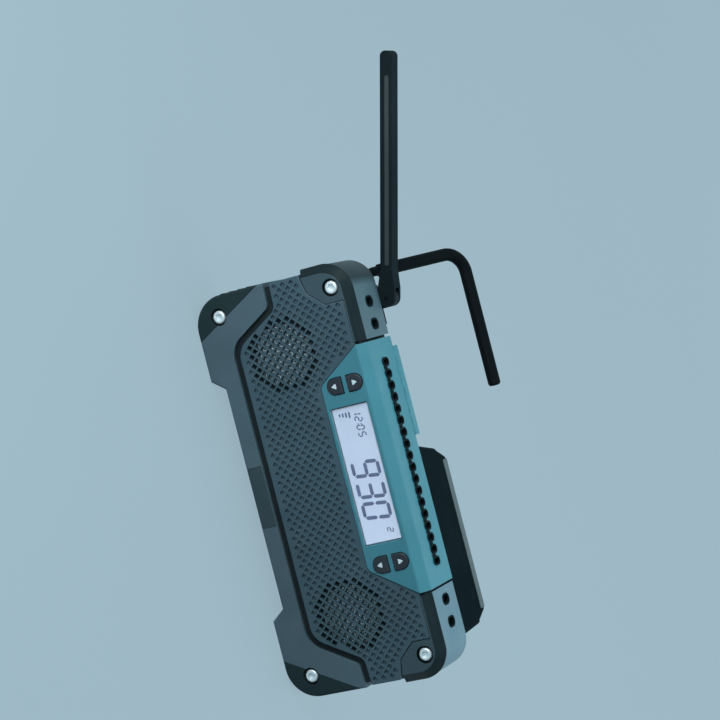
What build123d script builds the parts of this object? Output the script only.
from build123d import *
from math import cos, radians, sin
import os
# Compact 12 V class jobsite radio, standing upright on its feet.
# X runs along the radio to its right end, Y from the front to the back, Z up.
# The origin is the middle of the base pad, the rubber foot under the centre.
# All sizes are in millimetres.

os.makedirs("parts", exist_ok=True)

# ---------------------------------------------------------------- overall
corner_width = 257.0      # across the two top corner bumpers
height = 106.0            # feet to end covers
body_depth = 40.0         # front plane to the housing's rear face
total_depth = 83.0        # front plane to the back of the battery pack
pad_setback = 28.0        # front plane to the middle of the base pad

front_y = -pad_setback
rear_y = front_y + body_depth
pack_back_y = front_y + total_depth

# ---------------------------------------------------------------- shells
wall = 2.4                # housing walls
front_plate = 2.5         # grille and bumper thickness over the front housing
skirt = 3.0               # lower bumper's thickness around the housing
cover_thickness = 3.0     # end covers on the housing's top
corner_stand = 2.0        # top corner bumpers stand proud of the lower bumper
side_inset = 1.0          # bare housing side, in from the lower bumper
foot_lift = 8.6           # floor to the middle of the lower bumper
foot_length = 50.5        # a foot, from the end of the radio inwards
foot_slope = 6.5          # run of the ramp at a foot's inner end
foot_round = 20.0         # outer corner of a foot
split_depth = 20.0        # front plane to the joint between the housings
core_high_round = 16.0    # housing's upper corners
core_low_round = 10.0     # housing's lower corners
seam = 0.25               # parting gap between neighbouring trim pieces
edge_break = 1.2          # softened outer edges

corner_half = corner_width / 2
bumper_half = corner_half - corner_stand
side_half = bumper_half - side_inset
core_half = bumper_half - skirt
core_bottom = foot_lift + skirt
core_top = height - cover_thickness
panel_y = front_y + front_plate
split_y = front_y + split_depth
inner_front_y = panel_y + wall
inner_rear_y = rear_y - wall

# ---------------------------------------------------------------- groove
groove_width = 4.0        # dark line between grille and lower bumper
groove_end_z = 52.7       # where it runs out at the ends
groove_knee_x = 110.3     # first bend, coming in from an end
groove_knee_z = 52.0
groove_low_x = 92.5       # second bend, at the foot of the slanted part
groove_low_z = 21.7
groove_low_round = 15.0
groove_knee_round = 4.0

# ---------------------------------------------------------------- lower corners
cap_top_z = 47.0          # black lower corners: upper end of the slanted parting line
cap_foot_x = 101.0        # its lower end, on the foot
cap_reach = 20.0          # how far the cutting outlines run past the bumper

# ---------------------------------------------------------------- top corners
chamfer_leg = 5.5         # 45 degree chamfer round the front's top edge
bumper_strip = 6.0        # depth of the black corner bumpers at the front
corner_round = 18.0       # outer radius of the top corners
corner_low_z = 75.0       # lower end of the corner bumpers
corner_inner_x = 104.5    # inner edge of a corner bumper's face
corner_notch_z = 88.0     # where that edge starts to slant outwards
corner_notch_x = 113.5
corner_notch_low_z = 78.0
strip_land = 0.6          # flat front left under the chamfer

# ---------------------------------------------------------------- top cover
cover_half = 76.5         # teal cover, half its width on top
cover_gap = 1.6           # dark gap between teal cover and end covers
cover_stand = 1.0         # teal front stands proud of the grille
cover_rise = 0.6          # teal top stands above the end covers
cover_shoulder_z = 101.0  # where the front starts to narrow
cover_low_half = 57.0     # half width at the lower edge
cover_low_z = 72.0
cover_low_round = 5.0
cover_bend = 1.5          # softened edges of the teal cover's chamfer
slot_count = 18           # vent slots in the teal top
slot_pitch = 7.3
slot_width = 4.4
slot_length = 8.0
slot_setback = 22.5       # front plane to the middle of the slots
ledge_left = -70.0        # antenna rest on the rear edge
ledge_right = -14.0
ledge_reach = 6.5
ledge_rise = 1.2

# ---------------------------------------------------------------- end covers
cover_inset = 0.5         # end covers, in from the corner bumpers' outside
pocket_width = 5.8
pocket_length = 9.5
pocket_setback = 23.5
pocket_xs = (86.0, 100.0)

# ---------------------------------------------------------------- display
window_width = 84.4
window_height = 24.4
window_z = 86.3
window_fit = 0.15         # gap round the window in the teal cover
window_thickness = 1.4
window_recess = 0.3
glass_thickness = 1.8
board_thickness = 1.6
board_height = 26.0

# ---------------------------------------------------------------- buttons
button_inset = 1.8        # middle of a button, in from the cover's lower half width
button_x = cover_low_half - button_inset
board_reach = 10.8        # display board's end beyond the middle of a button
board_half = button_x + board_reach
button_up_z = 94.4
button_down_z = 81.0
button_width = 10.0
button_height = 10.0
button_fit = 0.35
button_stand = 1.2        # caps stand proud of the teal cover
button_travel = 0.8
flange_margin = 1.2
flange_thickness = 1.0
stem_radius = 1.8
stem_length = 0.4
switch_side = 6.0
switch_body = 1.9
plunger_radius = 1.5
plunger_length = 0.6
button_round = 0.8

# ---------------------------------------------------------------- speakers
speaker_x = 81.5
speaker_z = 52.0
speaker_hole = 20.0       # opening in the front housing
flange_radius = 24.4
flange_sheet = 1.2
surround_outer = 20.8
surround_inner = 17.6
cone_gap = 0.3
cone_travel = 1.0
gasket_thickness = 1.0
basket_depth = 11.0
cone_depth = 8.0          # flange's front to the cone's throat
basket_sheet = 0.9
magnet_radius = 15.0
magnet_depth = 8.0
coil_radius = 6.0
coil_wall = 0.5
speaker_screw_circle = 22.6
speaker_screw_radius = 0.9
speaker_head_radius = 1.6
speaker_head_height = 0.9
speaker_screw_grip = 1.6  # thread in the front wall

# ---------------------------------------------------------------- grille
hole_pitch = 4.2          # along the diagonals of the lattice
hole_side = 2.3
grille_zone = 23.0        # speaker zone, half across its flats
grille_recess = 0.5       # grille's face, back from the front plane
dimple_pitch = 8.4        # blind dimples of the net outside the speaker zones
dimple_side = 4.4
dimple_depth = 1.0
dimple_margin = 1.2       # plain strip between a dimple and the grille's edge

# ---------------------------------------------------------------- screws
screw_x = 113.3
screw_low_z = 16.4
screw_high_z = 93.8
screw_head_radius = 4.1
screw_head_height = 2.2
screw_radius = 1.9
screw_recess = 5.4
boss_radius = 4.2
screw_reach = 16.0        # thread in the rear housing's bosses
hole_gap = 0.1            # radial gap round a screw
small_screw_radius = 1.45 # screws that hold the dock and the hinge block
small_head_radius = 2.7
small_head_height = 1.6
head_recess = 0.2         # screw heads sunk in the dock and the pack
board_screw_radius = 0.9
board_head_radius = 1.7
board_head_height = 0.9
wall_boss = 4.6           # bosses inside the rear wall
wall_boss_radius = 3.2

# ---------------------------------------------------------------- antenna
antenna_x = -99.0
antenna_z = 110.0
antenna_angle = 15.5      # at rest, above the horizontal, to the left
antenna_length = 150.0
antenna_width = 10.0
antenna_thickness = 7.6
antenna_gap = 0.4         # antenna to the covers' rear face
knuckle_radius = 5.5
lug_thickness = 5.0
fork_gap = 0.25
hinge_pin_radius = 1.5
pin_fit = 0.05
core_strip = 1.2          # sprung steel strip inside the rubber
core_width = 5.0
core_start = 12.0
core_end = 144.0
fork_neck = 18.0          # where the fork has narrowed to the mast

# ---------------------------------------------------------------- hook
rod_radius = 3.0          # bare rod, in the hinge block
grip_radius = 4.0         # coated rod, outside the block
grip_start = 12.0         # from the pivot's axis, along the arm
hook_axis_stand = 4.0     # rod axis behind the housing's rear face
hook_z = 98.0
hook_angle = 30.0         # at rest, above the horizontal, to the back
hook_arm = 78.8
hook_x = -117.0           # centre of the arm
hook_tip_x = -29.0
hook_shaft_x = -80.0      # inner end of the pivot
hook_bend = 14.0
hook_root_bend = 8.0
rod_fit = 0.08
block_left = -108.5
block_right = -84.0
block_low = 14.5          # hinge block, below and above the rod's axis
block_high = 6.0
block_depth = 9.0
block_round = 3.0
block_screw_x = 6.5       # its two screws, either side of its middle
block_screw_z = 88.0
clip_radius = 3.7
clip_thickness = 0.8
clip_gap = 0.3
hook_tip_round = 2.0

# ---------------------------------------------------------------- battery
pack_left = -7.5
pack_right = 112.5
pack_shoulder_left = -1.5
pack_shoulder_right = 111.3
pack_back_left = 4.8
pack_back_right = 105.6
pack_shoulder_depth = 69.0
pack_low_z = 25.0
pack_high_z = 105.0
pack_gap = 0.6            # pack to the housing's rear face
pack_wall = 2.0
pack_round = 4.0
dock_left = 2.0
dock_right = 104.0
dock_z = 66.0
dock_neck_half = 26.0
dock_head_half = 29.0
dock_neck = 2.5
dock_head = 2.5
dock_fit = 0.35
dock_screw_xs = (14.0, 84.0)
dock_screw_z = 18.0
cell_radius = 9.15
cell_length = 65.0
cell_count = 5
cell_pitch = 19.4
cell_y = 37.0
cell_mid_x = 50.0
tray_left = 8.0
tray_right = 101.0
case_screw_inset = 6.0    # pack's own screws, in from the ends of its shoulder
case_screw_edge = 4.7     # and in from its top and bottom
case_screw_radius = 1.1
case_head_radius = 2.0
case_boss_radius = 2.4
case_screw_length = 31.0
latch_travel = 3.0
latch_fit = 0.35
latch_left = 93.0         # tooth of the latch
latch_right = 97.5
latch_half = 3.8
latch_plate = 2.0
latch_stand = 1.0         # thumb pad proud of the pack's end
latch_pad_y = 27.0
latch_pad_depth = 10.0
latch_pad_half = 9.0
latch_pad_root = 2.5      # pad's root inside the pack's end wall
latch_riser = 2.0
cover_chamfer = 2.0       # edges of the pack's cover
terminal_x = 36.0
terminal_length = 20.0
terminal_width = 4.0
terminal_pitch = 10.0
terminal_thickness = 0.5
terminal_pin_radius = 0.7
contact_length = 11.0
contact_width = 2.8
pack_board_gap = 1.2
pack_board_length = 76.0
pack_board_width = 46.0
pack_board_x = 42.0
pack_board_pad = 4.0      # pads that the pack's board stands on

# ---------------------------------------------------------------- guard
guard_left = -8.0
guard_right = 113.0
guard_back_y = 50.0
guard_low_z = 3.2
guard_high_z = 24.0
guard_round = 6.0
rear_foot_radius = 6.0
rear_foot_inset = 12.0

# ---------------------------------------------------------------- sockets
socket_z = 64.5
aux_y = -3.9
power_y = 5.0
aux_bore_radius = 1.8
aux_body = 7.0
aux_length = 14.0
power_bore_radius = 2.75
power_body = 8.6
power_length = 12.0
flap_low_z = 57.2
flap_high_z = 72.0
flap_thickness = 1.8
flap_gap = 0.3            # flap to the housing's side
flap_front_y = -6.6
flap_back_y = 10.2
flap_barrel_radius = 0.95
flap_lug_gap = 0.3
flap_lug_width = 0.9
flap_lug_side = 2.1
flap_pin_radius = 0.45
aux_collar = 3.2
power_collar = 3.9

# ---------------------------------------------------------------- main board
board_z = 50.0
board_length = 92.0
board_width = 64.0
board_post = 6.0          # rear wall to the board's rear face
board_post_radius = 2.2
board_post_x = 41.0
board_post_z = 27.0
board_screw_grip = 2.2    # thread in a post
can_radius = 4.0
can_height = 9.0
lead_radius = 0.8         # speaker leads
lead_bend = 5.0
lead_gap = 0.3            # lead to its connector
lead_rise = 2.5           # lead's middle above the board
lead_run = 22.0           # connector's middle to the lead's first bend
lead_drop = 5.0           # how far the lead has come down there
lead_hang = 13.0          # lowest bend below the magnet
connector_length = 9.0
lead_start_x = 38.0       # middle of a speaker connector on the board
lead_start_z = 30.0
ribbon_half = 10.0        # flat cable between the two boards
ribbon_thickness = 0.4
ribbon_bend = 3.0
ribbon_high_z = 78.0
ribbon_low_z = 70.0

# ---------------------------------------------------------------- base
pad_length = 44.0
pad_depth = 14.0
inset_half = 18.7         # dark inlay in the middle of the lower bumper
inset_low_z = 9.8
inset_high_z = 18.8
inset_thickness = 1.2


# ---------------------------------------------------------------- helpers
def facing(y):
    """Sketch plane seen from the front: local x is X, local y is Z."""
    return Plane.XZ.offset(-y)


def side_on(x):
    """Sketch plane seen from the right end: local x is Y, local y is Z."""
    return Plane.YZ.offset(x)


def outline_face(points):
    """A closed outline as a face, to be added to a sketch."""
    with BuildSketch() as region:
        with BuildLine():
            Polyline(*points, close=True)
        make_face()
    return region.sketch


def mirrored(points):
    """An outline's right half, closed by its mirror image."""
    return list(points) + [(-x, z) for x, z in reversed(points)]


def both_sides(x, z):
    """The same place on the left and on the right."""
    return [(-x, z), (x, z)]


def core_face(inward=0.0):
    """The housing's own outline, moved inwards by a wall."""
    with BuildSketch() as region:
        with Locations((0, (core_bottom + core_top) / 2)):
            Rectangle(2 * (core_half - inward), core_top - core_bottom - 2 * inward)
        fillet(region.vertices().sort_by(Axis.Y)[:2], radius=core_low_round - inward)
        fillet(region.vertices().sort_by(Axis.Y)[-2:], radius=core_high_round - inward)
    return region.sketch


def above_groove(shift):
    """Everything above the groove's centre line, moved out by shift."""
    reach = corner_width
    rise = (groove_end_z - groove_knee_z) / (bumper_half - groove_knee_x)
    with BuildSketch() as region:
        with BuildLine():
            Polyline(*mirrored([
                (groove_low_x, groove_low_z),
                (groove_knee_x, groove_knee_z),
                (reach, groove_knee_z + rise * (reach - groove_knee_x)),
                (reach, 2 * height),
            ]), close=True)
        make_face()
        offset(amount=shift, kind=Kind.INTERSECTION)
        by_height = region.vertices().sort_by(Axis.Y)
        fillet(by_height[0:2], radius=groove_low_round)
        knees = region.vertices().sort_by(Axis.Y)[4:6]
        fillet(knees, radius=groove_knee_round)
    return region.sketch


def silhouette(top_z):
    """The lower bumper's outline: feet, ramps and the raised middle."""
    foot_inner_x = bumper_half - foot_length
    with BuildSketch() as region:
        with BuildLine():
            Polyline(*mirrored([
                (foot_inner_x - foot_slope, foot_lift),
                (foot_inner_x, 0),
                (bumper_half, 0),
                (bumper_half, top_z),
            ]), close=True)
        make_face()
        corners = [v for v in region.vertices() if abs(v.X) > core_half and v.Y < foot_lift]
        fillet(corners, radius=foot_round)
    return region.sketch


def lower_corner(side, shift):
    """Outline beyond the slanted parting line of one lower corner."""
    slope = cap_top_z / (bumper_half - cap_foot_x)
    run = cap_reach / slope
    return outline_face([
        (side * (cap_foot_x - run + shift), -cap_reach),
        (side * (bumper_half + run + cap_reach), -cap_reach),
        (side * (bumper_half + run + cap_reach), cap_top_z + cap_reach),
        (side * (bumper_half + run + shift), cap_top_z + cap_reach),
    ])


def upper_corner(side, outer_half, grow=0.0):
    """Face of one top corner bumper, with its strip under the top edge."""
    strip_low_z = height - chamfer_leg - strip_land
    with BuildSketch() as region:
        with BuildLine():
            Polyline(
                (side * (cover_half + cover_gap), height),
                (side * outer_half, height),
                (side * outer_half, corner_low_z - grow),
                (side * (corner_notch_x + grow), corner_notch_low_z - 2 * grow),
                (side * (corner_inner_x - grow), corner_notch_z - grow),
                (side * (corner_inner_x - grow), strip_low_z - grow),
                (side * (cover_half + cover_gap), strip_low_z - grow),
                close=True,
            )
        make_face()
        outer = [v for v in region.vertices() if abs(v.X) > outer_half - 1 and v.Y > height - 1]
        fillet(outer, radius=corner_round)
    return region.sketch


def end_cover_face(side):
    """One end cover from the front: top, rounded corner and upper side."""
    outer_half = corner_half - cover_inset
    with BuildSketch() as region:
        with BuildLine():
            Polyline(
                (side * (cover_half + cover_gap), corner_low_z),
                (side * (cover_half + cover_gap), height),
                (side * outer_half, height),
                (side * outer_half, corner_low_z),
                close=True,
            )
        make_face()
        outer = [v for v in region.vertices() if abs(v.X) > outer_half - 1 and v.Y > height - 1]
        fillet(outer, radius=corner_round - cover_inset)
    return region.sketch


def cover_face(grow=0.0):
    """Front of the teal cover: wide at the top, narrow and rounded below."""
    with BuildSketch() as region:
        with BuildLine():
            Polyline(*mirrored([
                (cover_low_half, cover_low_z),
                (cover_half, cover_shoulder_z),
                (cover_half, 2 * height),
            ]), close=True)
        make_face()
        low = region.vertices().sort_by(Axis.Y)[0:2]
        fillet(low, radius=cover_low_round)
        if grow > 0:
            offset(amount=grow, kind=Kind.INTERSECTION)
    return region.sketch


def button_face(pointing, grow=0.0):
    """A button: flat on one side, domed on the side that it points to."""
    with BuildSketch() as region:
        with Locations((0, -pointing * button_height / 4)):
            Rectangle(button_width, button_height / 2)
        Circle(button_width / 2)
        if grow > 0:
            offset(amount=grow, kind=Kind.INTERSECTION)
    return region.sketch


def lattice(x, z):
    """Holes of one speaker zone: a square lattice on its corner, in an octagon."""
    step = hole_pitch / 2 ** 0.5
    count = int(grille_zone / step)
    places = []
    for row in range(-count, count + 1):
        for column in range(-count, count + 1):
            if (row + column) % 2 == 0 and abs(row) + abs(column) <= 1.35 * count:
                places.append((x + column * step, z + row * step))
    return places


def dimples(region):
    """Dimples of the net: a coarser lattice, clear of the speaker zones and the region's edge."""
    step = dimple_pitch / 2 ** 0.5
    clear = dimple_side / 2 ** 0.5 + dimple_margin
    columns, rows = int(side_half / step), int(height / step)
    rim = region.outer_wire()
    places = []
    for row in range(-rows, rows + 1):
        for column in range(-columns, columns + 1):
            place = Vector(column * step, speaker_z + row * step)
            across, up = abs(abs(place.X) - speaker_x), abs(place.Y - speaker_z)
            in_zone = max(across, up, (across + up) / 2 ** 0.5) < grille_zone + dimple_margin
            if (row + column) % 2 == 0 and not in_zone and region.is_inside(place):
                if rim.distance_to(place) > clear:
                    places.append(place)
    return places


def screw_circle(x):
    """Places of a speaker's four screws."""
    reach = speaker_screw_circle / 2 ** 0.5
    return [(x + i * reach, speaker_z + j * reach) for i in (-1, 1) for j in (-1, 1)]


def screw(place, head_radius, head_height, shank_radius, shank_length, forwards=True):
    """A pan head screw: its seat is at place, its head faces the front or the back."""
    x, y, z = place
    sign = 1 if forwards else -1
    with BuildPart() as body:
        with BuildSketch(facing(y)):
            with Locations((x, z)):
                Circle(head_radius)
        extrude(amount=sign * head_height)
        with BuildSketch(facing(y)):
            with Locations((x, z)):
                Circle(shank_radius)
        extrude(amount=-sign * shank_length)
    return body.part


def write(part, name):
    """Label a finished piece and write its file."""
    part.label = name
    export_step(part, f"parts/{name}.step")


corner_screws = both_sides(screw_x, screw_low_z) + both_sides(screw_x, screw_high_z)
speakers = {"left": -speaker_x, "right": speaker_x}
sides = {"left": -1, "right": 1}
band_low_z = groove_end_z + groove_width / 2
band_mid_z = (band_low_z + corner_low_z) / 2
band_mid_x = (core_half + side_half) / 2
cover_front_y = front_y - cover_stand
cover_top_z = height + cover_rise
strip_back_y = front_y + bumper_strip
gasket_y = inner_front_y
flange_front_y = gasket_y + gasket_thickness
flange_rear_y = flange_front_y + flange_sheet
speaker_fixings = [place for x in speakers.values() for place in screw_circle(x)]

# ---------------------------------------------------------------- display stack
window_y = cover_front_y + window_recess
glass_y = window_y + window_thickness + 0.1
glass_back_y = glass_y + glass_thickness
flange_y = panel_y + seam
stem_end_y = flange_y + flange_thickness + stem_length
plunger_y = stem_end_y + button_travel + 0.1
switch_y = plunger_y + plunger_length
display_board_y = switch_y + switch_body
display_board_z = (cover_low_z + core_top - wall) / 2
display_posts = [
    (x, display_board_z + lift)
    for x in (2.0 - board_half, board_half - 2.0)
    for lift in (3.0 - board_height / 2, board_height / 2 - 3.0)
]
buttons = {
    "volume_up_button": (-button_x, button_up_z, 1),
    "volume_down_button": (-button_x, button_down_z, -1),
    "tune_up_button": (button_x, button_up_z, 1),
    "tune_down_button": (button_x, button_down_z, -1),
}

# ---------------------------------------------------------------- front housing
with BuildPart() as front_housing:
    with BuildSketch(facing(panel_y)):
        add(core_face())
        with Locations(*both_sides(band_mid_x, band_mid_z)):
            Rectangle(side_half - core_half, corner_low_z - band_low_z)
    extrude(amount=panel_y - split_y)
    with BuildSketch(facing(inner_front_y)):
        add(core_face(wall))
    extrude(amount=inner_front_y - split_y, mode=Mode.SUBTRACT)
    # screw bosses and display board posts
    with BuildSketch(facing(inner_front_y)):
        with Locations(*corner_screws):
            Circle(boss_radius)
    extrude(amount=inner_front_y - split_y)
    with BuildSketch(facing(inner_front_y)):
        with Locations(*display_posts):
            Circle(board_post_radius)
    extrude(amount=inner_front_y - display_board_y)
    # openings in the front wall
    with BuildSketch(facing(panel_y)):
        with Locations(*both_sides(speaker_x, speaker_z)):
            Circle(speaker_hole)
        with Locations((0, window_z)):
            Rectangle(window_width + 2 * window_fit, window_height + 2 * window_fit)
        button_mid_z = (button_up_z + button_down_z) / 2
        button_span = button_up_z - button_down_z + button_height
        margin = 2 * (flange_margin + 0.6)
        with Locations(*both_sides(button_x, button_mid_z)):
            Rectangle(button_width + margin, button_span + margin)
    extrude(amount=-wall, mode=Mode.SUBTRACT)
    with BuildSketch(facing(panel_y)):
        with Locations(*corner_screws):
            Circle(screw_radius + hole_gap)
    extrude(amount=panel_y - split_y, mode=Mode.SUBTRACT)
    # blind holes for the display board's and the speakers' screws
    with BuildSketch(facing(display_board_y - board_screw_grip)):
        with Locations(*display_posts):
            Circle(board_screw_radius + hole_gap)
    extrude(amount=-board_screw_grip, mode=Mode.SUBTRACT)
    with BuildSketch(facing(inner_front_y - speaker_screw_grip)):
        with Locations(*speaker_fixings):
            Circle(speaker_screw_radius + hole_gap)
    extrude(amount=-speaker_screw_grip, mode=Mode.SUBTRACT)
write(front_housing.part, "front_housing")

# ---------------------------------------------------------------- front grille
with BuildPart() as front_grille:
    grille_y = front_y + grille_recess
    with BuildSketch(facing(grille_y)) as grille_outline:
        with BuildLine():
            Polyline(*mirrored([
                (side_half, 0),
                (side_half, corner_low_z - seam),
                (corner_notch_x, corner_notch_low_z - 2 * seam),
                (corner_inner_x - seam, corner_notch_z - seam),
                (corner_inner_x - seam, height - chamfer_leg - strip_land - seam),
            ]), close=True)
        make_face()
        add(above_groove(-groove_width / 2), mode=Mode.INTERSECT)
        add(cover_face(seam), mode=Mode.SUBTRACT)
        dimple_places = dimples(grille_outline.sketch_local.face())
        with Locations(*lattice(-speaker_x, speaker_z), *lattice(speaker_x, speaker_z)):
            Rectangle(hole_side, hole_side, rotation=45, mode=Mode.SUBTRACT)
    extrude(amount=grille_y - panel_y)
    with BuildSketch(facing(grille_y)):
        with Locations(*dimple_places):
            Rectangle(dimple_side, dimple_side, rotation=45)
    extrude(amount=-dimple_depth, mode=Mode.SUBTRACT)
write(front_grille.part, "front_grille")

# ---------------------------------------------------------------- lower bumper and its corners
with BuildPart() as lower_shell:
    with BuildSketch(facing(front_y)):
        add(silhouette(groove_end_z))
        add(above_groove(groove_width / 2), mode=Mode.SUBTRACT)
    extrude(amount=-body_depth)
    front_edges = lower_shell.faces().sort_by(Axis.Y)[0].outer_wire().edges()
    outer_edges = [
        e for e in front_edges
        if e.center().Z < core_bottom or abs(e.center().X) > core_half - 2
    ]
    chamfer(outer_edges, length=edge_break)
    with BuildSketch(facing(panel_y)):
        add(core_face())
    extrude(amount=panel_y - rear_y, mode=Mode.SUBTRACT)
    with BuildSketch(facing(front_y)):
        with Locations(*both_sides(screw_x, screw_low_z)):
            Circle(screw_recess)
    extrude(amount=-front_plate, mode=Mode.SUBTRACT)
    with BuildSketch(facing(front_y)):
        with Locations((0, (inset_low_z + inset_high_z) / 2)):
            Rectangle(2 * (inset_half + seam), inset_high_z - inset_low_z + 2 * seam)
    extrude(amount=-inset_thickness, mode=Mode.SUBTRACT)

with BuildPart() as lower_bumper:
    add(lower_shell.part)
    with BuildSketch(facing(front_y - 1)):
        for side in sides.values():
            add(lower_corner(side, -seam))
    extrude(amount=-(body_depth + 2), mode=Mode.SUBTRACT)
write(lower_bumper.part, "lower_bumper")

for side_name, side in sides.items():
    with BuildPart() as lower_cap:
        add(lower_shell.part)
        with BuildSketch(facing(front_y - 1)):
            add(lower_corner(side, 0))
        extrude(amount=-(body_depth + 2), mode=Mode.INTERSECT)
    write(lower_cap.part, f"lower_corner_{side_name}")

with BuildPart() as bumper_inlay:
    with BuildSketch(facing(front_y)):
        with Locations((0, (inset_low_z + inset_high_z) / 2)):
            Rectangle(2 * inset_half, inset_high_z - inset_low_z)
    extrude(amount=-inset_thickness)
write(bumper_inlay.part, "bumper_inlay")

# ---------------------------------------------------------------- top corners and end covers
for side_name, side in sides.items():
    with BuildPart() as top_corner:
        with BuildSketch(facing(front_y)):
            add(upper_corner(side, corner_half))
        extrude(amount=-bumper_strip)
        face_edges = top_corner.faces().sort_by(Axis.Y)[0].outer_wire().edges()
        rim = [
            e for e in face_edges
            if e.geom_type == GeomType.CIRCLE
            or e.center().Z > height - 0.1
            or abs(e.center().X) > corner_half - 0.1
        ]
        chamfer(rim, length=chamfer_leg)
        with BuildSketch(facing(panel_y)):
            add(core_face())
        extrude(amount=panel_y - strip_back_y, mode=Mode.SUBTRACT)
        with BuildSketch(facing(front_y)):
            with Locations((side * screw_x, screw_high_z)):
                Circle(screw_recess)
        extrude(amount=-front_plate, mode=Mode.SUBTRACT)
    write(top_corner.part, f"top_corner_{side_name}")

    with BuildPart() as end_cover:
        with BuildSketch(facing(strip_back_y)):
            add(end_cover_face(side))
            add(core_face(), mode=Mode.SUBTRACT)
        extrude(amount=strip_back_y - rear_y)
        with BuildSketch(Plane.XY.offset(core_top)):
            with Locations(*[(side * x, front_y + pocket_setback) for x in pocket_xs]):
                SlotOverall(pocket_length, pocket_width, rotation=90)
        extrude(amount=cover_thickness, mode=Mode.SUBTRACT)
    write(end_cover.part, f"end_cover_{side_name}")

# ---------------------------------------------------------------- teal top cover
with BuildPart() as top_cover:
    with BuildSketch(side_on(-cover_half)) as cover_profile:
        chamfer_run = cover_top_z - cover_shoulder_z
        with BuildLine():
            Polyline(
                (cover_front_y, cover_low_z),
                (cover_front_y, cover_shoulder_z),
                (cover_front_y + chamfer_run, cover_top_z),
                (rear_y, cover_top_z),
                (rear_y, core_top),
                (panel_y, core_top),
                (panel_y, cover_low_z),
                close=True,
            )
        make_face()
        bends = [
            v for v in cover_profile.vertices()
            if v.Y > cover_shoulder_z - 1 and v.X < panel_y + chamfer_run
            and (abs(v.Y - cover_shoulder_z) < 0.1 or abs(v.Y - cover_top_z) < 0.1)
        ]
        fillet(bends, radius=cover_bend)
    extrude(amount=2 * cover_half)
    with BuildSketch(facing(cover_front_y - 1)):
        add(cover_face())
    extrude(amount=cover_front_y - 1 - rear_y, mode=Mode.INTERSECT)
    # rest for the folded antenna, on the rear edge
    with BuildSketch(side_on(ledge_left)):
        with Locations((rear_y + ledge_reach / 2, (core_top + height + ledge_rise) / 2)):
            RectangleRounded(ledge_reach, cover_thickness + ledge_rise, 1.0)
        with Locations((rear_y + 1, (core_top + height + ledge_rise) / 2)):
            Rectangle(2, cover_thickness + ledge_rise)
    extrude(amount=ledge_right - ledge_left)
    # display window, buttons and vent slots
    with BuildSketch(facing(cover_front_y)):
        with Locations((0, window_z)):
            Rectangle(window_width + 2 * window_fit, window_height + 2 * window_fit)
    extrude(amount=cover_front_y - panel_y, mode=Mode.SUBTRACT)
    for x, z, pointing in buttons.values():
        with BuildSketch(facing(cover_front_y)):
            with Locations((x, z)):
                add(button_face(pointing, button_fit))
        extrude(amount=cover_front_y - panel_y, mode=Mode.SUBTRACT)
    with BuildSketch(Plane.XY.offset(core_top)):
        with Locations((0, front_y + slot_setback)):
            with GridLocations(slot_pitch, 1, slot_count, 1):
                SlotOverall(slot_length, slot_width, rotation=90)
    extrude(amount=cover_thickness + cover_rise, mode=Mode.SUBTRACT)
write(top_cover.part, "top_cover")

# ---------------------------------------------------------------- display
with BuildPart() as display_window:
    with BuildSketch(facing(window_y)):
        with Locations((0, window_z)):
            RectangleRounded(window_width, window_height, 1.0)
    extrude(amount=-window_thickness)
write(display_window.part, "display_window")

with BuildPart() as display_glass:
    with BuildSketch(facing(glass_y)):
        with Locations((0, window_z)):
            Rectangle(window_width - 1.0, window_height - 1.0)
    extrude(amount=-glass_thickness)
write(display_glass.part, "display_glass")

with BuildPart() as backlight:
    with BuildSketch(facing(glass_back_y)):
        with Locations((0, window_z)):
            Rectangle(window_width - 1.0, window_height - 1.0)
    extrude(amount=glass_back_y - display_board_y)
write(backlight.part, "backlight")

with BuildPart() as display_board:
    with BuildSketch(facing(display_board_y)):
        with Locations((0, display_board_z)):
            Rectangle(2 * board_half, board_height)
        with Locations(*display_posts):
            Circle(board_screw_radius + hole_gap, mode=Mode.SUBTRACT)
    extrude(amount=-board_thickness)
write(display_board.part, "display_board")

with BuildPart() as key_switches:
    for x, z, pointing in buttons.values():
        with BuildSketch(facing(switch_y)):
            with Locations((x, z)):
                Rectangle(switch_side, switch_side)
        extrude(amount=-switch_body)
        with BuildSketch(facing(plunger_y)):
            with Locations((x, z)):
                Circle(plunger_radius)
        extrude(amount=-plunger_length)
write(key_switches.part, "key_switches")

# ---------------------------------------------------------------- buttons
for button_name, (x, z, pointing) in buttons.items():
    with BuildPart() as button:
        with BuildSketch(facing(cover_front_y - button_stand)):
            with Locations((x, z)):
                add(button_face(pointing))
        extrude(amount=cover_front_y - button_stand - flange_y)
        cap_edges = button.faces().sort_by(Axis.Y)[0].edges()
        fillet(cap_edges, radius=button_round)
        with BuildSketch(facing(flange_y)):
            with Locations((x, z)):
                add(button_face(pointing, flange_margin))
        extrude(amount=-flange_thickness)
        with BuildSketch(facing(flange_y + flange_thickness)):
            with Locations((x, z)):
                Circle(stem_radius)
        extrude(amount=-stem_length)
    write(button.part, button_name)

# ---------------------------------------------------------------- speakers
basket_y = flange_front_y + basket_depth
plate_y = basket_y + magnet_depth - 2.0
magnet_y = basket_y + magnet_depth


def turned(x, points):
    """A part turned about a speaker's axis, from its radii and depths."""
    with BuildPart() as body:
        with BuildSketch(Plane(origin=(x, 0, speaker_z), x_dir=(1, 0, 0), z_dir=(0, 0, 1))):
            with BuildLine():
                Polyline(*points, close=True)
            make_face()
        revolve(axis=Axis((x, 0, speaker_z), (0, 1, 0)))
    return body.part


cone_outer = surround_inner - cone_gap
former_outer = coil_radius + coil_wall / 2
former_inner = coil_radius - coil_wall / 2
pole_radius = former_inner - 0.4
gap_radius = former_outer + 0.4
throat_y = flange_front_y + cone_depth
coil_end_y = plate_y - cone_travel - 0.6

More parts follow.
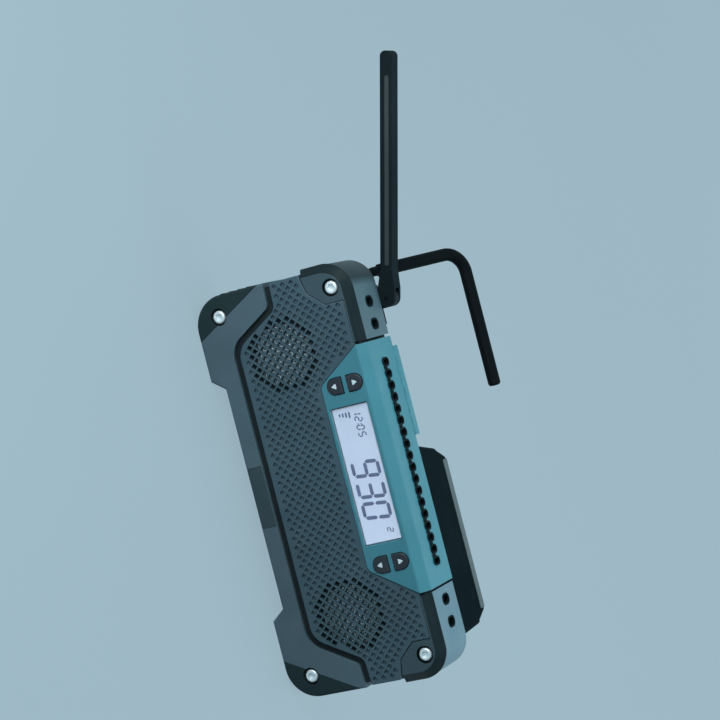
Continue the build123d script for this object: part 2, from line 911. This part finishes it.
for side_name, x in speakers.items():
    with BuildPart() as frame:
        add(turned(x, [
            (surround_outer - 0.8, flange_front_y),
            (flange_radius, flange_front_y),
            (flange_radius, flange_rear_y),
            (surround_outer - 0.3, flange_rear_y),
            (magnet_radius - 2.0, basket_y),
            (gap_radius, basket_y),
            (gap_radius, basket_y - basket_sheet),
            (magnet_radius - 2.6, basket_y - basket_sheet),
            (surround_outer - 0.8, flange_front_y + 0.8),
        ]))
        with BuildSketch(facing(flange_front_y)):
            with Locations(*screw_circle(x)):
                Circle(speaker_screw_radius + hole_gap)
        extrude(amount=-flange_sheet, mode=Mode.SUBTRACT)
    write(frame.part, f"speaker_frame_{side_name}")

    magnet = turned(x, [
        (0, basket_y),
        (pole_radius, basket_y),
        (pole_radius, plate_y),
        (gap_radius, plate_y),
        (gap_radius, basket_y),
        (magnet_radius, basket_y),
        (magnet_radius, magnet_y),
        (0, magnet_y),
    ])
    write(magnet, f"speaker_magnet_{side_name}")

    cone = turned(x, [
        (0, throat_y - 3.4),
        (3.0, throat_y - 3.0),
        (former_outer, throat_y - 1.0),
        (cone_outer, flange_front_y + 0.1),
        (cone_outer, flange_front_y + 0.8),
        (former_outer, throat_y),
        (former_outer, coil_end_y),
        (former_inner, coil_end_y),
        (former_inner, throat_y - 0.6),
        (3.0, throat_y - 2.5),
        (0, throat_y - 2.9),
    ])
    write(cone, f"speaker_cone_{side_name}")

with BuildPart() as speaker_surrounds:
    for x in speakers.values():
        with BuildSketch(facing(flange_front_y)):
            with Locations((x, speaker_z)):
                Circle(surround_outer - 0.8)
                Circle(surround_inner, mode=Mode.SUBTRACT)
        extrude(amount=-0.7)
write(speaker_surrounds.part, "speaker_surrounds")

with BuildPart() as speaker_gaskets:
    for x in speakers.values():
        with BuildSketch(facing(gasket_y)):
            with Locations((x, speaker_z)):
                Circle(speaker_hole + 1.4)
                Circle(speaker_hole, mode=Mode.SUBTRACT)
        extrude(amount=-gasket_thickness)
write(speaker_gaskets.part, "speaker_gaskets")

# ---------------------------------------------------------------- rear housing
flap_pin_x = side_half + flap_gap + flap_barrel_radius
flap_pin_z = flap_low_z - flap_barrel_radius
flap_lugs = [
    flap_front_y - flap_lug_gap - flap_lug_width / 2,
    flap_back_y + flap_lug_gap + flap_lug_width / 2,
]
board_y = inner_rear_y - board_post - board_thickness
board_posts = [(i * board_post_x, board_z + j * board_post_z) for i in (-1, 1) for j in (-1, 1)]
dock_screws = [(x, dock_z + j * dock_screw_z) for x in dock_screw_xs for j in (-1, 1)]
block_mid_x = (block_left + block_right) / 2
block_screws = [(block_mid_x + i * block_screw_x, block_screw_z) for i in (-1, 1)]
hook_y = rear_y + hook_axis_stand
wall_bosses = dock_screws + block_screws
terminals = [(terminal_x, dock_z + k * terminal_pitch) for k in (-1, 0, 1)]

with BuildPart() as rear_housing:
    with BuildSketch(facing(split_y)):
        add(core_face())
        with Locations(*both_sides(band_mid_x, band_mid_z)):
            Rectangle(side_half - core_half, corner_low_z - band_low_z)
    extrude(amount=split_y - rear_y)
    guard_mid_x = (guard_left + guard_right) / 2
    guard_length = guard_right - guard_left
    with BuildSketch(Plane.XY.offset(guard_low_z)):
        with Locations((guard_mid_x, (rear_y + guard_back_y) / 2)):
            Rectangle(guard_length, guard_back_y - rear_y)
    extrude(amount=guard_high_z - guard_low_z)
    guard_edges = rear_housing.edges().filter_by(Axis.Z).group_by(Axis.Y)[-1]
    fillet(guard_edges, radius=guard_round)
    # the guard's hollow is an extension of the housing's own
    with BuildSketch(Plane.XY.offset(guard_low_z + wall)):
        with Locations((guard_mid_x, (inner_rear_y + guard_back_y - wall) / 2)):
            Rectangle(guard_length - 2 * wall, guard_back_y - wall - inner_rear_y)
    extrude(amount=guard_high_z - guard_low_z - 2 * wall, mode=Mode.SUBTRACT)
    with BuildSketch(facing(split_y)):
        add(core_face(wall))
    extrude(amount=split_y - inner_rear_y, mode=Mode.SUBTRACT)
    # bosses and posts on the rear wall
    with BuildSketch(facing(split_y)):
        with Locations(*corner_screws):
            Circle(boss_radius)
    extrude(amount=split_y - inner_rear_y)
    with BuildSketch(facing(inner_rear_y - board_post)):
        with Locations(*board_posts):
            Circle(board_post_radius)
    extrude(amount=-board_post)
    with BuildSketch(facing(inner_rear_y - wall_boss)):
        with Locations(*wall_bosses):
            Circle(wall_boss_radius)
    extrude(amount=-wall_boss)
    # screw holes
    with BuildSketch(facing(split_y)):
        with Locations(*corner_screws):
            Circle(screw_radius + hole_gap)
    extrude(amount=-(screw_reach + 0.5), mode=Mode.SUBTRACT)
    with BuildSketch(facing(inner_rear_y - wall_boss)):
        with Locations(*wall_bosses):
            Circle(small_screw_radius + hole_gap)
    extrude(amount=-(wall_boss + wall), mode=Mode.SUBTRACT)
    with BuildSketch(facing(inner_rear_y - board_post)):
        with Locations(*board_posts):
            Circle(board_screw_radius + hole_gap)
    extrude(amount=-board_screw_grip, mode=Mode.SUBTRACT)
    with BuildSketch(facing(inner_rear_y)):
        with Locations(*terminals):
            Circle(terminal_pin_radius + hole_gap)
    extrude(amount=-wall, mode=Mode.SUBTRACT)
    # socket openings in the right side
    with BuildSketch(side_on(core_half - wall)):
        with Locations((aux_y, socket_z)):
            Circle(aux_collar + hole_gap)
        with Locations((power_y, socket_z)):
            Circle(power_collar + hole_gap)
    extrude(amount=side_half - core_half + wall, mode=Mode.SUBTRACT)
    # lugs that carry the socket flap
    with BuildSketch(Plane.XY.offset(flap_pin_z - flap_lug_side / 2)):
        for y in flap_lugs:
            with Locations((side_half + flap_lug_side / 2, y)):
                Rectangle(flap_lug_side, flap_lug_width)
    extrude(amount=flap_lug_side)
    with BuildSketch(facing(flap_lugs[0] - flap_lug_width)):
        with Locations((flap_pin_x, flap_pin_z)):
            Circle(flap_pin_radius)
    extrude(amount=flap_lugs[0] - flap_lugs[1] - 2 * flap_lug_width, mode=Mode.SUBTRACT)
write(rear_housing.part, "rear_housing")

# ---------------------------------------------------------------- main board
with BuildPart() as main_board:
    with BuildSketch(facing(board_y)):
        with Locations((0, board_z)):
            Rectangle(board_length, board_width)
        with Locations(*board_posts):
            Circle(board_screw_radius + hole_gap, mode=Mode.SUBTRACT)
    extrude(amount=-board_thickness)
write(main_board.part, "main_board")

# tuner can, processor, amplifier's heat sink, memory and the two speaker connectors:
# centre, size across, size up and height off the board
board_blocks = [
    (-24.0, 66.0, 26.0, 18.0, 3.6),
    (2.0, 52.0, 12.0, 12.0, 1.6),
    (30.0, 72.0, 14.0, 9.0, 6.5),
    (-18.0, 46.0, 10.0, 8.0, 1.4),
    (-lead_start_x, lead_start_z, connector_length, 6.0, 5.0),
    (lead_start_x, lead_start_z, connector_length, 6.0, 5.0),
]
board_cans = [(-8.0, 30.0), (3.0, 30.0), (14.0, 30.0)]
with BuildPart() as board_parts:
    for x, z, across, up, thick in board_blocks:
        with BuildSketch(facing(board_y - thick)):
            with Locations((x, z)):
                Rectangle(across, up)
        extrude(amount=-thick)
    with BuildSketch(facing(board_y - can_height)):
        with Locations(*board_cans):
            Circle(can_radius)
    extrude(amount=-can_height)
write(board_parts.part, "board_parts")

lead_y = board_y - lead_rise
lead_end_y = flange_front_y + basket_depth + magnet_depth / 2
lead_end_z = speaker_z - magnet_radius
with BuildPart() as speaker_leads:
    for side in sides.values():
        with BuildLine():
            FilletPolyline(
                (side * (lead_start_x + connector_length / 2 + lead_gap), lead_y, lead_start_z),
                (side * (lead_start_x + lead_run), lead_y, lead_start_z - lead_drop),
                (side * speaker_x, lead_end_y, lead_end_z - lead_hang),
                (side * speaker_x, lead_end_y, lead_end_z),
                radius=lead_bend,
            )
        with BuildSketch(Plane.XY.offset(lead_end_z)):
            with Locations((side * speaker_x, lead_end_y)):
                Circle(lead_radius)
        sweep()
write(speaker_leads.part, "speaker_leads")

ribbon_start_y = display_board_y + board_thickness
ribbon_mid_y = (ribbon_start_y + board_y) / 2
with BuildPart() as display_ribbon:
    with BuildSketch(side_on(-ribbon_half)):
        with BuildLine():
            FilletPolyline(
                (ribbon_start_y, ribbon_high_z),
                (ribbon_mid_y, ribbon_high_z),
                (ribbon_mid_y, ribbon_low_z),
                (board_y, ribbon_low_z),
                radius=ribbon_bend,
            )
        trace(line_width=ribbon_thickness)
    extrude(amount=2 * ribbon_half)
write(display_ribbon.part, "display_ribbon")

# ---------------------------------------------------------------- screws
housing_shank = split_y + screw_reach - panel_y
with BuildPart() as housing_screws:
    for x, z in corner_screws:
        add(screw((x, panel_y, z), screw_head_radius, screw_head_height, screw_radius, housing_shank))
write(housing_screws.part, "housing_screws")

with BuildPart() as board_screws:
    for x, z in display_posts:
        add(screw(
            (x, display_board_y + board_thickness, z), board_head_radius, board_head_height,
            board_screw_radius, board_thickness + board_screw_grip, forwards=False,
        ))
    for x, z in board_posts:
        add(screw(
            (x, board_y, z), board_head_radius, board_head_height,
            board_screw_radius, board_thickness + board_screw_grip,
        ))
write(board_screws.part, "board_screws")

with BuildPart() as speaker_screws:
    speaker_shank = flange_rear_y - inner_front_y + speaker_screw_grip
    for x, z in speaker_fixings:
        add(screw(
            (x, flange_rear_y, z), speaker_head_radius, speaker_head_height,
            speaker_screw_radius, speaker_shank, forwards=False,
        ))
write(speaker_screws.part, "speaker_screws")

# ---------------------------------------------------------------- hinge block
antenna_y = rear_y + antenna_gap + antenna_width / 2
block_top_z = hook_z + block_high
block_back_y = rear_y + block_depth
with BuildPart() as hinge_block:
    with BuildSketch(side_on(block_left)) as block_profile:
        with BuildLine():
            Polyline(
                (rear_y, hook_z - block_low),
                (block_back_y, hook_z - block_low),
                (block_back_y, block_top_z),
                (rear_y, block_top_z),
                close=True,
            )
        make_face()
        fillet(block_profile.vertices().group_by(Axis.X)[-1], radius=block_round)
    extrude(amount=block_right - block_left)
    with BuildSketch(facing(antenna_y - lug_thickness / 2)):
        with Locations((antenna_x, antenna_z)):
            Circle(knuckle_radius)
        with Locations((antenna_x, (antenna_z + hook_z) / 2)):
            Rectangle(2 * knuckle_radius, antenna_z - hook_z)
    extrude(amount=-lug_thickness)
    with BuildSketch(side_on(block_left)):
        with Locations((hook_y, hook_z)):
            Circle(rod_radius + rod_fit)
    extrude(amount=block_right - block_left, mode=Mode.SUBTRACT)
    with BuildSketch(facing(rear_y)):
        with Locations((antenna_x, antenna_z)):
            Circle(hinge_pin_radius)
        with Locations(*block_screws):
            Circle(small_screw_radius + hole_gap)
    extrude(amount=-2 * block_depth, mode=Mode.SUBTRACT)
write(hinge_block.part, "hinge_block")

with BuildPart() as hinge_screws:
    for x, z in block_screws:
        add(screw(
            (x, block_back_y, z), small_head_radius, small_head_height, small_screw_radius,
            block_depth + wall + wall_boss, forwards=False,
        ))
write(hinge_screws.part, "hinge_screws")

# ---------------------------------------------------------------- antenna
with BuildPart() as antenna_pin:
    with BuildSketch(facing(antenna_y - antenna_width / 2 + 0.1)):
        with Locations((antenna_x, antenna_z)):
            Circle(hinge_pin_radius)
    extrude(amount=-(antenna_width - 0.2))
write(antenna_pin.part, "antenna_pin")

along = (-cos(radians(antenna_angle)), 0, sin(radians(antenna_angle)))
mast_plane = Plane(origin=(antenna_x, antenna_y, antenna_z), x_dir=along, z_dir=(0, 1, 0))
fork_root = knuckle_radius + 0.8
fork_slot = lug_thickness + 2 * fork_gap
with BuildPart() as antenna_mast:
    with BuildSketch(mast_plane.offset(-antenna_width / 2)) as mast_side:
        with BuildLine():
            Polyline(
                (0, -knuckle_radius),
                (fork_root, -knuckle_radius),
                (fork_neck, -antenna_thickness / 2),
                (antenna_length, -antenna_thickness / 2),
                (antenna_length, antenna_thickness / 2),
                (fork_neck, antenna_thickness / 2),
                (fork_root, knuckle_radius),
                (0, knuckle_radius),
                close=True,
            )
        make_face()
        fillet(mast_side.vertices().sort_by(Axis.X)[-2:], radius=antenna_thickness * 0.45)
        Circle(knuckle_radius)
    extrude(amount=antenna_width)
    with BuildSketch(mast_plane.offset(-fork_slot / 2)):
        with Locations(((fork_root - 2 * knuckle_radius) / 2, 0)):
            Rectangle(fork_root + 2 * knuckle_radius, 3 * knuckle_radius)
    extrude(amount=fork_slot, mode=Mode.SUBTRACT)
    with BuildSketch(mast_plane.offset(-antenna_width)):
        Circle(hinge_pin_radius + pin_fit)
    extrude(amount=2 * antenna_width, mode=Mode.SUBTRACT)
    with BuildSketch(mast_plane.offset(-core_width / 2)):
        with Locations(((core_start + core_end) / 2, 0)):
            Rectangle(core_end - core_start, core_strip)
    extrude(amount=core_width, mode=Mode.SUBTRACT)
write(antenna_mast.part, "antenna_mast")

with BuildPart() as antenna_spring:
    with BuildSketch(mast_plane.offset(-core_width / 2)):
        with Locations(((core_start + core_end) / 2, 0)):
            Rectangle(core_end - core_start, core_strip)
    extrude(amount=core_width)
write(antenna_spring.part, "antenna_spring")

# ---------------------------------------------------------------- hook
arm_run = (0, cos(radians(hook_angle)), sin(radians(hook_angle)))
arm_y = hook_y + hook_arm * arm_run[1]
arm_z = hook_z + hook_arm * arm_run[2]
grip_y = hook_y + grip_start * arm_run[1]
grip_z = hook_z + grip_start * arm_run[2]
with BuildPart() as hook_rod:
    with BuildLine():
        FilletPolyline(
            (hook_shaft_x, hook_y, hook_z),
            (hook_x, hook_y, hook_z),
            (hook_x, grip_y, grip_z),
            radius=hook_root_bend,
        )
    with BuildSketch(side_on(hook_shaft_x)):
        with Locations((hook_y, hook_z)):
            Circle(rod_radius)
    sweep()
    # coated arm and bar
    with BuildLine():
        FilletPolyline(
            (hook_x, grip_y, grip_z),
            (hook_x, arm_y, arm_z),
            (hook_tip_x, arm_y, arm_z),
            radius=hook_bend,
        )
    with BuildSketch(Plane(origin=(hook_x, grip_y, grip_z), x_dir=(1, 0, 0), z_dir=arm_run)):
        Circle(grip_radius)
    sweep()
    tip = hook_rod.faces().filter_by(GeomType.PLANE).sort_by(lambda f: f.center().Y)[-1]
    fillet(tip.edges(), radius=hook_tip_round)
write(hook_rod.part, "hook_rod")

with BuildPart() as hook_clip:
    with BuildSketch(side_on(block_right + clip_gap)):
        with Locations((hook_y, hook_z)):
            Circle(clip_radius)
            Circle(rod_radius, mode=Mode.SUBTRACT)
    extrude(amount=clip_thickness)
write(hook_clip.part, "hook_clip")

# ---------------------------------------------------------------- battery dock
dock_mid_x = (dock_left + dock_right) / 2
neck_back_y = rear_y + dock_neck
head_back_y = neck_back_y + dock_head
latch_slot_half = latch_half + latch_fit
seat_y = head_back_y - small_head_height - head_recess
with BuildPart() as battery_dock:
    with BuildSketch(facing(rear_y)):
        with Locations((dock_mid_x, dock_z)):
            Rectangle(dock_right - dock_left, 2 * dock_neck_half)
    extrude(amount=-dock_neck)
    with BuildSketch(facing(neck_back_y)):
        with Locations((dock_mid_x, dock_z)):
            Rectangle(dock_right - dock_left, 2 * dock_head_half)
    extrude(amount=-dock_head)
    # way for the latch's tooth
    with BuildSketch(facing(neck_back_y)):
        with Locations(((latch_left - latch_fit + dock_right) / 2, dock_z)):
            Rectangle(dock_right - latch_left + latch_fit, 2 * latch_slot_half)
    extrude(amount=-dock_head, mode=Mode.SUBTRACT)
    with BuildSketch(facing(head_back_y - terminal_thickness)):
        with Locations(*terminals):
            Rectangle(terminal_length, terminal_width)
    extrude(amount=-terminal_thickness, mode=Mode.SUBTRACT)
    with BuildSketch(facing(rear_y)):
        with Locations(*dock_screws):
            Circle(small_screw_radius + hole_gap)
        with Locations(*terminals):
            Circle(terminal_pin_radius)
    extrude(amount=-(dock_neck + dock_head), mode=Mode.SUBTRACT)
    with BuildSketch(facing(seat_y)):
        with Locations(*dock_screws):
            Circle(small_head_radius + hole_gap)
    extrude(amount=seat_y - head_back_y, mode=Mode.SUBTRACT)
write(battery_dock.part, "battery_dock")

with BuildPart() as dock_terminals:
    with BuildSketch(facing(head_back_y - terminal_thickness)):
        with Locations(*terminals):
            Rectangle(terminal_length, terminal_width)
    extrude(amount=-terminal_thickness)
    # their pins reach the main board
    with BuildSketch(facing(board_y + board_thickness)):
        with Locations(*terminals):
            Circle(terminal_pin_radius)
    extrude(amount=board_y + board_thickness - head_back_y + terminal_thickness)
write(dock_terminals.part, "dock_terminals")

with BuildPart() as dock_fixings:
    for x, z in dock_screws:
        add(screw(
            (x, seat_y, z), small_head_radius, small_head_height, small_screw_radius,
            seat_y - inner_rear_y + wall_boss, forwards=False,
        ))
write(dock_fixings.part, "dock_screws")

# ---------------------------------------------------------------- battery pack
pack_front_y = rear_y + pack_gap
shoulder_y = front_y + pack_shoulder_depth
channel_back_y = head_back_y + dock_fit
channel_end_x = dock_right + dock_fit
neck_clear = neck_back_y - dock_fit
cell_z = (pack_low_z + pack_high_z) / 2
inner_plan = [
    (pack_left, pack_front_y),
    (pack_right, pack_front_y),
    (pack_shoulder_right, shoulder_y),
    (pack_shoulder_left, shoulder_y),
]
outer_plan = [
    (pack_shoulder_left, shoulder_y + seam),
    (pack_shoulder_right, shoulder_y + seam),
    (pack_back_right, pack_back_y),
    (pack_back_left, pack_back_y),
]
case_screws = [
    (x, z)
    for x in (pack_shoulder_left + case_screw_inset, pack_shoulder_right - case_screw_inset)
    for z in (pack_low_z + case_screw_edge, pack_high_z - case_screw_edge)
]
case_seat_y = pack_front_y + small_head_height + head_recess

with BuildPart() as battery_base:
    with BuildSketch(Plane.XY.offset(pack_low_z)):
        add(outline_face(inner_plan))
    extrude(amount=pack_high_z - pack_low_z)
    rim = battery_base.edges().filter_by(lambda e: e.center().Y > pack_front_y + 1)
    rim = rim.filter_by(lambda e: e.center().Y < shoulder_y - 1)
    chamfer(rim, length=edge_break)
    with BuildSketch(Plane.XY.offset(pack_low_z + pack_wall)):
        cavity_front_y = channel_back_y + pack_wall
        with BuildLine():
            Polyline(
                (pack_left + 2 * pack_wall, cavity_front_y),
                (pack_right - 2 * pack_wall, cavity_front_y),
                (pack_shoulder_right - pack_wall, shoulder_y),
                (pack_shoulder_left + pack_wall, shoulder_y),
                close=True,
            )
        make_face()
    extrude(amount=pack_high_z - pack_low_z - 2 * pack_wall, mode=Mode.SUBTRACT)
    # channel that slides over the dock, open at the left end
    channel_mid_x = (channel_end_x + pack_left - 1) / 2
    channel_length = channel_end_x - pack_left + 1
    with BuildSketch(facing(pack_front_y - 1)):
        with Locations((channel_mid_x, dock_z)):
            Rectangle(channel_length, 2 * (dock_neck_half + dock_fit))
    extrude(amount=pack_front_y - 1 - channel_back_y, mode=Mode.SUBTRACT)
    with BuildSketch(facing(neck_clear)):
        with Locations((channel_mid_x, dock_z)):
            Rectangle(channel_length, 2 * (dock_head_half + dock_fit))
    extrude(amount=neck_clear - channel_back_y, mode=Mode.SUBTRACT)
    # openings for the contacts, the latch's tooth and its thumb pad
    with BuildSketch(facing(channel_back_y - 0.5)):
        with Locations(*terminals):
            Rectangle(contact_length + 1, contact_width + 1)
        with Locations(((latch_left + latch_right) / 2, dock_z)):
            Rectangle(latch_right - latch_left + 2 * latch_fit, 2 * latch_slot_half)
    extrude(amount=-(pack_wall + 1), mode=Mode.SUBTRACT)
    with BuildSketch(side_on(pack_shoulder_right - 3 * pack_wall)):
        with Locations((latch_pad_y + latch_travel / 2, dock_z)):
            Rectangle(latch_pad_depth + latch_travel + 2 * latch_fit, 2 * (latch_pad_half + latch_fit))
    extrude(amount=5 * pack_wall, mode=Mode.SUBTRACT)
    # pads under the pack's board
    pad_reach_x = (pack_board_length - pack_board_pad) / 2
    pad_reach_z = (pack_board_width - pack_board_pad) / 2
    with BuildSketch(facing(channel_back_y + pack_wall)):
        with Locations((pack_board_x, dock_z)):
            with GridLocations(2 * pad_reach_x, 2 * pad_reach_z, 2, 2):
                Rectangle(pack_board_pad, pack_board_pad)
    extrude(amount=-pack_board_gap)
    # bosses for the screws that hold the cover
    with BuildSketch(facing(pack_front_y)):
        with Locations(*case_screws):
            Circle(case_boss_radius)
    extrude(amount=pack_front_y - shoulder_y)
    with BuildSketch(facing(pack_front_y)):
        with Locations(*case_screws):
            Circle(case_screw_radius + hole_gap)
    extrude(amount=pack_front_y - shoulder_y, mode=Mode.SUBTRACT)
    with BuildSketch(facing(pack_front_y)):
        with Locations(*case_screws):
            Circle(case_head_radius + hole_gap)
    extrude(amount=pack_front_y - case_seat_y, mode=Mode.SUBTRACT)
write(battery_base.part, "battery_base")

with BuildPart() as battery_cover:
    with BuildSketch(Plane.XY.offset(pack_low_z)) as cover_plan:
        add(outline_face(outer_plan))
        fillet(cover_plan.vertices().group_by(Axis.Y)[-1], radius=pack_round)
    extrude(amount=pack_high_z - pack_low_z)
    rim = battery_cover.edges().filter_by(lambda e: e.center().Y > shoulder_y + 1)
    rim = rim.filter_by(lambda e: e.center().Z > pack_high_z - 0.1 or e.center().Z < pack_low_z + 0.1)
    chamfer(rim, length=cover_chamfer)
    with BuildSketch(Plane.XY.offset(pack_low_z + cover_chamfer + pack_wall)):
        with BuildLine():
            Polyline(
                (pack_shoulder_left + pack_wall, shoulder_y),
                (pack_shoulder_right - pack_wall, shoulder_y),
                (pack_back_right - pack_wall, pack_back_y - pack_wall),
                (pack_back_left + pack_wall, pack_back_y - pack_wall),
                close=True,
            )
        make_face()
    extrude(amount=pack_high_z - pack_low_z - 2 * (cover_chamfer + pack_wall), mode=Mode.SUBTRACT)
    screw_end_y = case_seat_y + case_screw_length
    with BuildSketch(facing(shoulder_y + seam)):
        with Locations(*case_screws):
            Circle(case_boss_radius)
    extrude(amount=shoulder_y + seam - screw_end_y - pack_wall)
    with BuildSketch(facing(shoulder_y + seam)):
        with Locations(*case_screws):
            Circle(case_screw_radius + hole_gap)
    extrude(amount=shoulder_y + seam - screw_end_y, mode=Mode.SUBTRACT)
write(battery_cover.part, "battery_cover")

with BuildPart() as battery_screws:
    for x, z in case_screws:
        add(screw(
            (x, case_seat_y, z), case_head_radius, small_head_height, case_screw_radius,
            case_screw_length,
        ))
write(battery_screws.part, "battery_screws")

cell_xs = [cell_mid_x + (k - (cell_count - 1) / 2) * cell_pitch for k in range(cell_count)]
with BuildPart() as battery_cells:
    with BuildSketch(Plane.XY.offset(cell_z - cell_length / 2)):
        with Locations(*[(x, cell_y) for x in cell_xs]):
            Circle(cell_radius)
    extrude(amount=cell_length)
write(battery_cells.part, "battery_cells")

tray_front_y = cell_y - cell_radius
with BuildPart() as cell_trays:
    for low_z in (pack_low_z + pack_wall, cell_z + cell_length / 2):
        with BuildSketch(Plane.XY.offset(low_z)):
            with Locations(((tray_left + tray_right) / 2, (tray_front_y + shoulder_y) / 2)):
                Rectangle(tray_right - tray_left, shoulder_y - tray_front_y)
        extrude(amount=(pack_high_z - pack_low_z - cell_length) / 2 - pack_wall)
write(cell_trays.part, "cell_trays")

pack_board_y = channel_back_y + pack_wall + pack_board_gap
with BuildPart() as pack_board:
    with BuildSketch(facing(pack_board_y)):
        with Locations((pack_board_x, dock_z)):
            Rectangle(pack_board_length, pack_board_width)
    extrude(amount=-board_thickness)
write(pack_board.part, "pack_board")

with BuildPart() as pack_contacts:
    with BuildSketch(facing(channel_back_y)):
        with Locations(*terminals):
            Rectangle(contact_length, contact_width)
    extrude(amount=channel_back_y - pack_board_y)
write(pack_contacts.part, "pack_contacts")

# ---------------------------------------------------------------- battery latch
tooth_tip_y = neck_back_y + latch_fit
plate_front_y = channel_back_y + pack_wall + latch_fit
with BuildPart() as battery_latch:
    with BuildSketch(facing(tooth_tip_y)):
        with Locations(((latch_left + latch_right) / 2, dock_z)):
            Rectangle(latch_right - latch_left, 2 * latch_half)
    extrude(amount=tooth_tip_y - plate_front_y)
    pad_right_x = pack_right + latch_stand
    pad_left_x = pack_shoulder_right - pack_wall - latch_pad_root - latch_riser
    pad_front_y = latch_pad_y - latch_pad_depth / 2
    with BuildSketch(facing(plate_front_y)):
        with Locations(((latch_left + pad_left_x) / 2 + latch_riser / 2, dock_z)):
            Rectangle(pad_left_x - latch_left + latch_riser, 2 * latch_half)
    extrude(amount=-latch_plate)
    with BuildSketch(facing(plate_front_y)):
        with Locations((pad_left_x + latch_riser / 2, dock_z)):
            Rectangle(latch_riser, 2 * latch_half)
    extrude(amount=plate_front_y - pad_front_y - latch_plate)
    with BuildSketch(side_on(pad_left_x)):
        with Locations((latch_pad_y, dock_z)):
            RectangleRounded(latch_pad_depth, 2 * latch_pad_half, 1.5)
    extrude(amount=pad_right_x - pad_left_x)
write(battery_latch.part, "battery_latch")

# ---------------------------------------------------------------- sockets
inner_side_x = core_half - wall


def socket(y, body_across, length, collar, bore, name, pin_radius=0.0):
    """A socket in the right side: body inside the wall, collar through it."""
    with BuildPart() as body:
        with BuildSketch(side_on(side_half - length - 2.0)):
            with Locations((y, socket_z)):
                Rectangle(body_across, body_across)
        extrude(amount=inner_side_x - side_half + length + 2.0)
        with BuildSketch(side_on(inner_side_x)):
            with Locations((y, socket_z)):
                Circle(collar)
        extrude(amount=side_half - inner_side_x)
        with BuildSketch(side_on(side_half - length)):
            with Locations((y, socket_z)):
                Circle(bore)
                if pin_radius > 0:
                    Circle(pin_radius, mode=Mode.SUBTRACT)
        extrude(amount=length, mode=Mode.SUBTRACT)
    write(body.part, name)


socket(aux_y, aux_body, aux_length, aux_collar, aux_bore_radius, "aux_socket")
socket(power_y, power_body, power_length, power_collar, power_bore_radius, "power_socket", 0.8)

with BuildPart() as socket_flap:
    flap_mid_y = (flap_front_y + flap_back_y) / 2
    flap_span = flap_back_y - flap_front_y
    with BuildSketch(side_on(side_half + flap_gap)) as flap_outline:
        with Locations((flap_mid_y, (flap_low_z + flap_high_z) / 2)):
            Rectangle(flap_span, flap_high_z - flap_low_z)
        fillet(flap_outline.vertices().group_by(Axis.Y)[-1], radius=2.0)
    extrude(amount=flap_thickness)
    with BuildSketch(facing(flap_front_y)):
        with Locations((flap_pin_x, flap_pin_z)):
            Circle(flap_barrel_radius)
        with Locations((flap_pin_x, flap_pin_z + flap_barrel_radius / 2)):
            Rectangle(2 * flap_barrel_radius, flap_barrel_radius)
    extrude(amount=-flap_span)
    with BuildSketch(facing(flap_front_y)):
        with Locations((flap_pin_x, flap_pin_z)):
            Circle(flap_pin_radius + pin_fit)
    extrude(amount=-flap_span, mode=Mode.SUBTRACT)
write(socket_flap.part, "socket_flap")

with BuildPart() as flap_pin:
    with BuildSketch(facing(flap_lugs[0] - flap_lug_width / 2)):
        with Locations((flap_pin_x, flap_pin_z)):
            Circle(flap_pin_radius)
    extrude(amount=flap_lugs[0] - flap_lugs[1] - flap_lug_width)
write(flap_pin.part, "flap_pin")

# ---------------------------------------------------------------- feet
with BuildPart() as base_pad:
    with BuildSketch():
        RectangleRounded(pad_length, pad_depth, 3.0)
    extrude(amount=foot_lift)
    chamfer(base_pad.faces().sort_by(Axis.Z)[0].edges(), length=1.0)
write(base_pad.part, "base_pad")

with BuildPart() as rear_feet:
    rear_foot_y = guard_back_y - rear_foot_inset
    with BuildSketch():
        for x in (guard_left + rear_foot_inset, guard_right - rear_foot_inset):
            with Locations((x, rear_foot_y)):
                Circle(rear_foot_radius)
    extrude(amount=guard_low_z)
write(rear_feet.part, "rear_feet")
